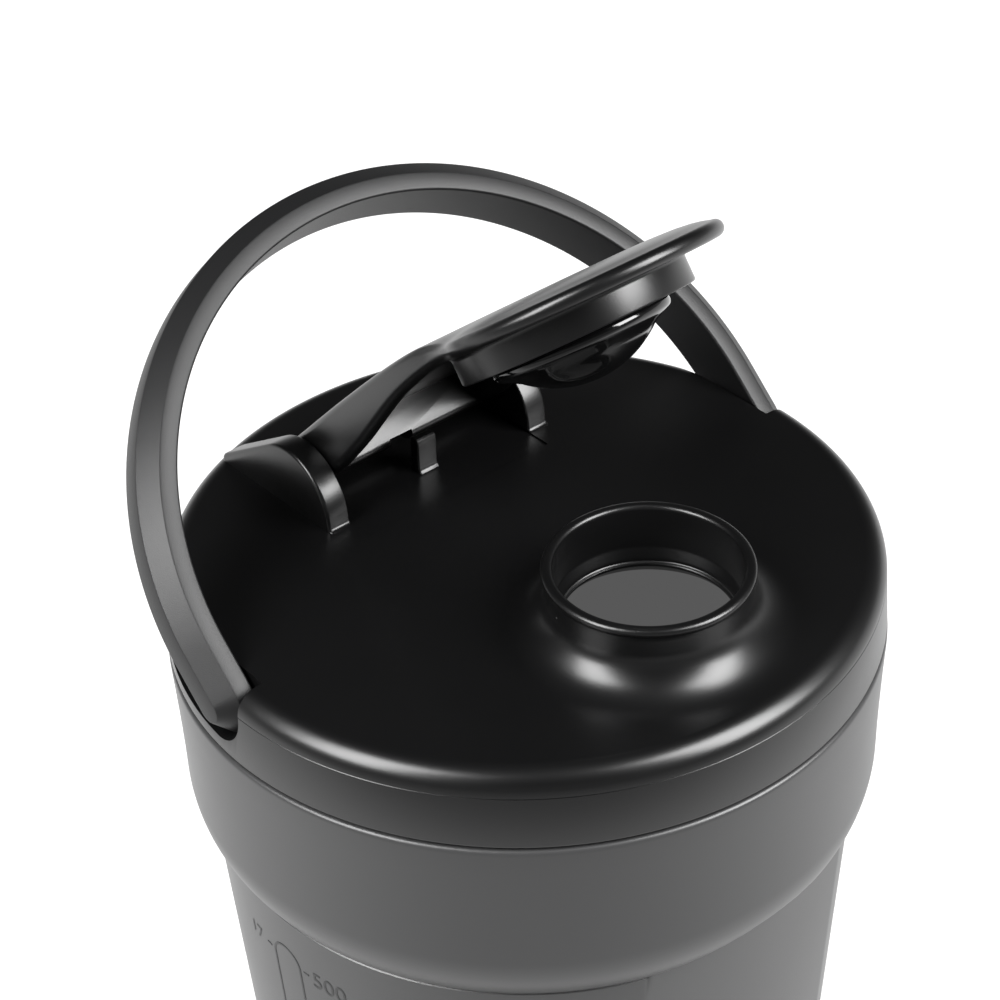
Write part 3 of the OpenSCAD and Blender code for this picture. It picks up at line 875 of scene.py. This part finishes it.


# A dark grey floor made pale by a painted glow that fades towards the front, in place of light falling on it.
def make_floor():
    bm = bmesh.new()
    lathe(bm, [(0.0, 0.0), (3000, 0), (12000, 0)], 64)
    ob = finish_mesh(bm, "floor")
    mat = bpy.data.materials.new("painted_glow_floor")
    n, l, bsdf = nodes_of(mat)
    noise = n.new("ShaderNodeTexNoise")
    noise.inputs["Scale"].default_value = 3
    tone = n.new("ShaderNodeMix")
    tone.data_type = "RGBA"
    tone.inputs["A"].default_value = (0.12, 0.12, 0.12, 1)
    tone.inputs["B"].default_value = (0.14, 0.14, 0.14, 1)
    l.new(noise.outputs["Fac"], tone.inputs["Factor"])
    l.new(tone.outputs["Result"], bsdf.inputs["Base Color"])
    bsdf.inputs["Roughness"].default_value = 0.9
    coord = n.new("ShaderNodeTexCoord")
    ahead = n.new("ShaderNodeVectorMath")
    ahead.operation = "DOT_PRODUCT"
    ahead.inputs[1].default_value = FLOOR_AHEAD
    l.new(coord.outputs["Object"], ahead.inputs[0])
    fade = n.new("ShaderNodeMapRange")
    fade.interpolation_type = "SMOOTHSTEP"
    fade.inputs["From Min"].default_value = FADE_FROM
    fade.inputs["From Max"].default_value = FADE_TO
    fade.inputs["To Min"].default_value = FLOOR_GLOW
    fade.inputs["To Max"].default_value = FLOOR_GLOW_AHEAD
    l.new(ahead.outputs["Value"], fade.inputs["Value"])
    l.new(fade.outputs["Result"], bsdf.inputs["Emission Strength"])
    bsdf.inputs["Emission Color"].default_value = (1, 1, 1, 1)
    ob.data.materials.append(mat)


make_floor()


def softbox(name, azimuth, elevation, distance, width, height, power, aim=(0, 0, 0.15)):
    """azimuth 0 is in front of the spout (-Y) and 90 is on the +X side."""
    a, e = math.radians(azimuth), math.radians(elevation)
    d = Vector((math.sin(a) * math.cos(e), -math.cos(a) * math.cos(e), math.sin(e)))
    data = bpy.data.lights.new(name, "AREA")
    data.shape = "RECTANGLE"
    data.size, data.size_y, data.energy = width, height, power
    ob = bpy.data.objects.new(name, data)
    ob.location = Vector(aim) + d * distance
    ob.rotation_euler = (-d).to_track_quat("-Z", "Y").to_euler()
    bpy.context.scene.collection.objects.link(ob)


softbox("front_right_box", 29, 38, 1.0, 0.52, 0.75, 26)
softbox("left_box", -95, 38, 1.0, 0.45, 0.75, 22)


def make_world():
    """Grey near the horizon and almost black overhead."""
    world = bpy.data.worlds.new("studio")
    bpy.context.scene.world = world
    world.use_nodes = True
    n, l = world.node_tree.nodes, world.node_tree.links
    coord = n.new("ShaderNodeTexCoord")
    split = n.new("ShaderNodeSeparateXYZ")
    l.new(coord.outputs["Generated"], split.inputs["Vector"])
    ramp = n.new("ShaderNodeValToRGB")
    for stop, height, grey_level in zip(ramp.color_ramp.elements, (0.05, 0.4), (0.3, 0.02)):
        stop.position = height
        stop.color = (grey_level, grey_level, grey_level, 1)
    l.new(split.outputs["Z"], ramp.inputs["Fac"])
    l.new(ramp.outputs["Color"], n["Background"].inputs["Color"])
    n["Background"].inputs["Strength"].default_value = 1.0


make_world()

VIEW_AZ, VIEW_EL, VIEW_ROLL = math.radians(-38.790), math.radians(36.0764), math.radians(-2.2122)
CAM_AT = Vector((-192.05, -233.93, 229.77 + LID_Z)) * MM
LENS, SENSOR = 100.114, 36


def make_camera():
    scene = bpy.context.scene
    fwd = Vector((-math.sin(VIEW_AZ) * math.cos(VIEW_EL), math.cos(VIEW_AZ) * math.cos(VIEW_EL),
                  -math.sin(VIEW_EL)))
    level = Vector((fwd.y, -fwd.x, 0)).normalized()
    up = level.cross(fwd)
    right = level * math.cos(VIEW_ROLL) + up * math.sin(VIEW_ROLL)
    top = up * math.cos(VIEW_ROLL) - level * math.sin(VIEW_ROLL)
    data = bpy.data.cameras.new("view")
    data.sensor_width = SENSOR
    data.lens = LENS
    data.clip_start = 0.01
    data.clip_end = 60
    cam = bpy.data.objects.new("view", data)
    cam.matrix_world = Matrix(((right.x, top.x, -fwd.x, CAM_AT.x), (right.y, top.y, -fwd.y, CAM_AT.y),
                               (right.z, top.z, -fwd.z, CAM_AT.z), (0, 0, 0, 1)))
    scene.collection.objects.link(cam)
    scene.camera = cam


make_camera()
bpy.context.scene.view_settings.view_transform = "Standard"
bpy.context.scene.view_settings.look = "None"
